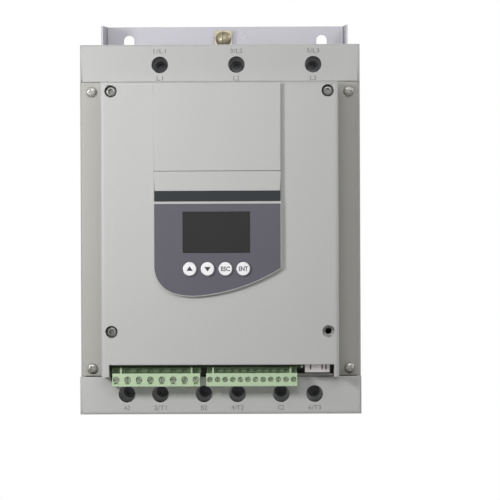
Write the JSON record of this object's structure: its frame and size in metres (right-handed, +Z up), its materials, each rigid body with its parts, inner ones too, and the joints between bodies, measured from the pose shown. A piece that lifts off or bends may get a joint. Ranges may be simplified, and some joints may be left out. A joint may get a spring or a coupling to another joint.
{
  "type": "soft starter",
  "caption": "Wall-mounted three-phase motor soft starter: finned heat sink with fans, grey housing, keypad with display, terminal covers and plug-in control terminals.",
  "frame": {"origin": "middle of the chassis plate's back face, centred between the four wall slots", "axes": "+X to the right seen from the front, -Y out of the wall towards the user, +Z up the wall"},
  "size_m": [0.19, 0.234, 0.29],
  "materials": {
    "cover_plastic": "fine textured light warm grey moulding",
    "zinc_sheet": "galvanised sheet",
    "yellow_zinc": "yellow passivated",
    "steel": "zinc plated",
    "dark_steel": "black oxide",
    "aluminium": "extruded, mill finish",
    "fan_plastic": "black glass-filled moulding",
    "black_plastic": "dark moulding",
    "faceplate_film": "satin violet grey faceplate",
    "name_field": "dark blue grey field",
    "display_dark": "smoked window",
    "key_white": "satin white",
    "board_green": "solder mask",
    "header_green": "green moulding",
    "plug_green": "light green moulding",
    "tinned": "tin plated",
    "copper": "bare copper"
  },
  "bodies": {
    "starter": {"mounting_chassis": "zinc_sheet", "earth_clamp": "yellow_zinc", "earth_screw": "yellow_zinc", "chassis_screws": "steel", "heat_sink": "aluminium", "fan_frame_left": "fan_plastic", "fan_frame_right": "fan_plastic", "fan_guards": "black_plastic", "fan_screws": "steel", "housing_base": "cover_plastic", "case_screws": "steel", "top_terminal_cover": "cover_plastic", "bottom_terminal_cover": "cover_plastic", "front_cover": "cover_plastic", "cover_screws": "dark_steel", "blank_panel": "cover_plastic", "keypad_bezel": "cover_plastic", "keypad_faceplate": "faceplate_film", "name_strip": "name_field", "display_window": "display_dark", "display_module": "black_plastic", "display_board": "board_green", "key_switches": "black_plastic", "control_board": "board_green", "relay_header": "header_green", "control_header": "header_green", "header_pins": "tinned", "serial_socket": "tinned", "module_screws": "steel", "bar_screws": "steel", "terminal_bases": "black_plastic", "terminal_cages": "steel", "terminal_screws": "dark_steel", "firing_board": "board_green", "board_pillars": "steel", "thyristor_module_1": "black_plastic", "line_bar_1": "copper", "load_bar_1": "copper", "bypass_bar_1": "copper", "current_transformer_1": "black_plastic", "thyristor_module_2": "black_plastic", "line_bar_2": "copper", "load_bar_2": "copper", "bypass_bar_2": "copper", "current_transformer_2": "black_plastic", "thyristor_module_3": "black_plastic", "line_bar_3": "copper", "load_bar_3": "copper", "bypass_bar_3": "copper", "current_transformer_3": "black_plastic"},
    "up_key": {"button_up": "key_white"},
    "down_key": {"button_down": "key_white"},
    "esc_key": {"button_esc": "key_white"},
    "ent_key": {"button_ent": "key_white"},
    "left_fan": {"fan_rotor_left": "fan_plastic"},
    "right_fan": {"fan_rotor_right": "fan_plastic"},
    "relay_connector": {"relay_plug": "plug_green", "relay_plug_screws": "steel"},
    "control_connector": {"control_plug": "plug_green", "control_plug_screws": "steel"}
  },
  "joints": [
    {"name": "up_key_press", "type": "slide", "parent": "starter", "child": "up_key", "axis": [0, 1, 0], "range_m": [0, 0.001], "stiffness_N_per_m": 1500},
    {"name": "down_key_press", "type": "slide", "parent": "starter", "child": "down_key", "axis": [0, 1, 0], "range_m": [0, 0.001], "stiffness_N_per_m": 1500},
    {"name": "esc_key_press", "type": "slide", "parent": "starter", "child": "esc_key", "axis": [0, 1, 0], "range_m": [0, 0.001], "stiffness_N_per_m": 1500},
    {"name": "ent_key_press", "type": "slide", "parent": "starter", "child": "ent_key", "axis": [0, 1, 0], "range_m": [0, 0.001], "stiffness_N_per_m": 1500},
    {"name": "left_fan_spin", "type": "hinge", "parent": "starter", "child": "left_fan", "pos_m": [-0.043, -0.0415, -0.1068], "axis": [0, 0, 1], "continuous": true},
    {"name": "right_fan_spin", "type": "hinge", "parent": "starter", "child": "right_fan", "pos_m": [0.043, -0.0415, -0.1068], "axis": [0, 0, 1], "continuous": true},
    {"name": "relay_connector_unplug", "type": "slide", "parent": "starter", "child": "relay_connector", "axis": [0, 0, -1], "range_m": [0, 0.012]},
    {"name": "control_connector_unplug", "type": "slide", "parent": "starter", "child": "control_connector", "axis": [0, 0, -1], "range_m": [0, 0.012]}
  ]
}
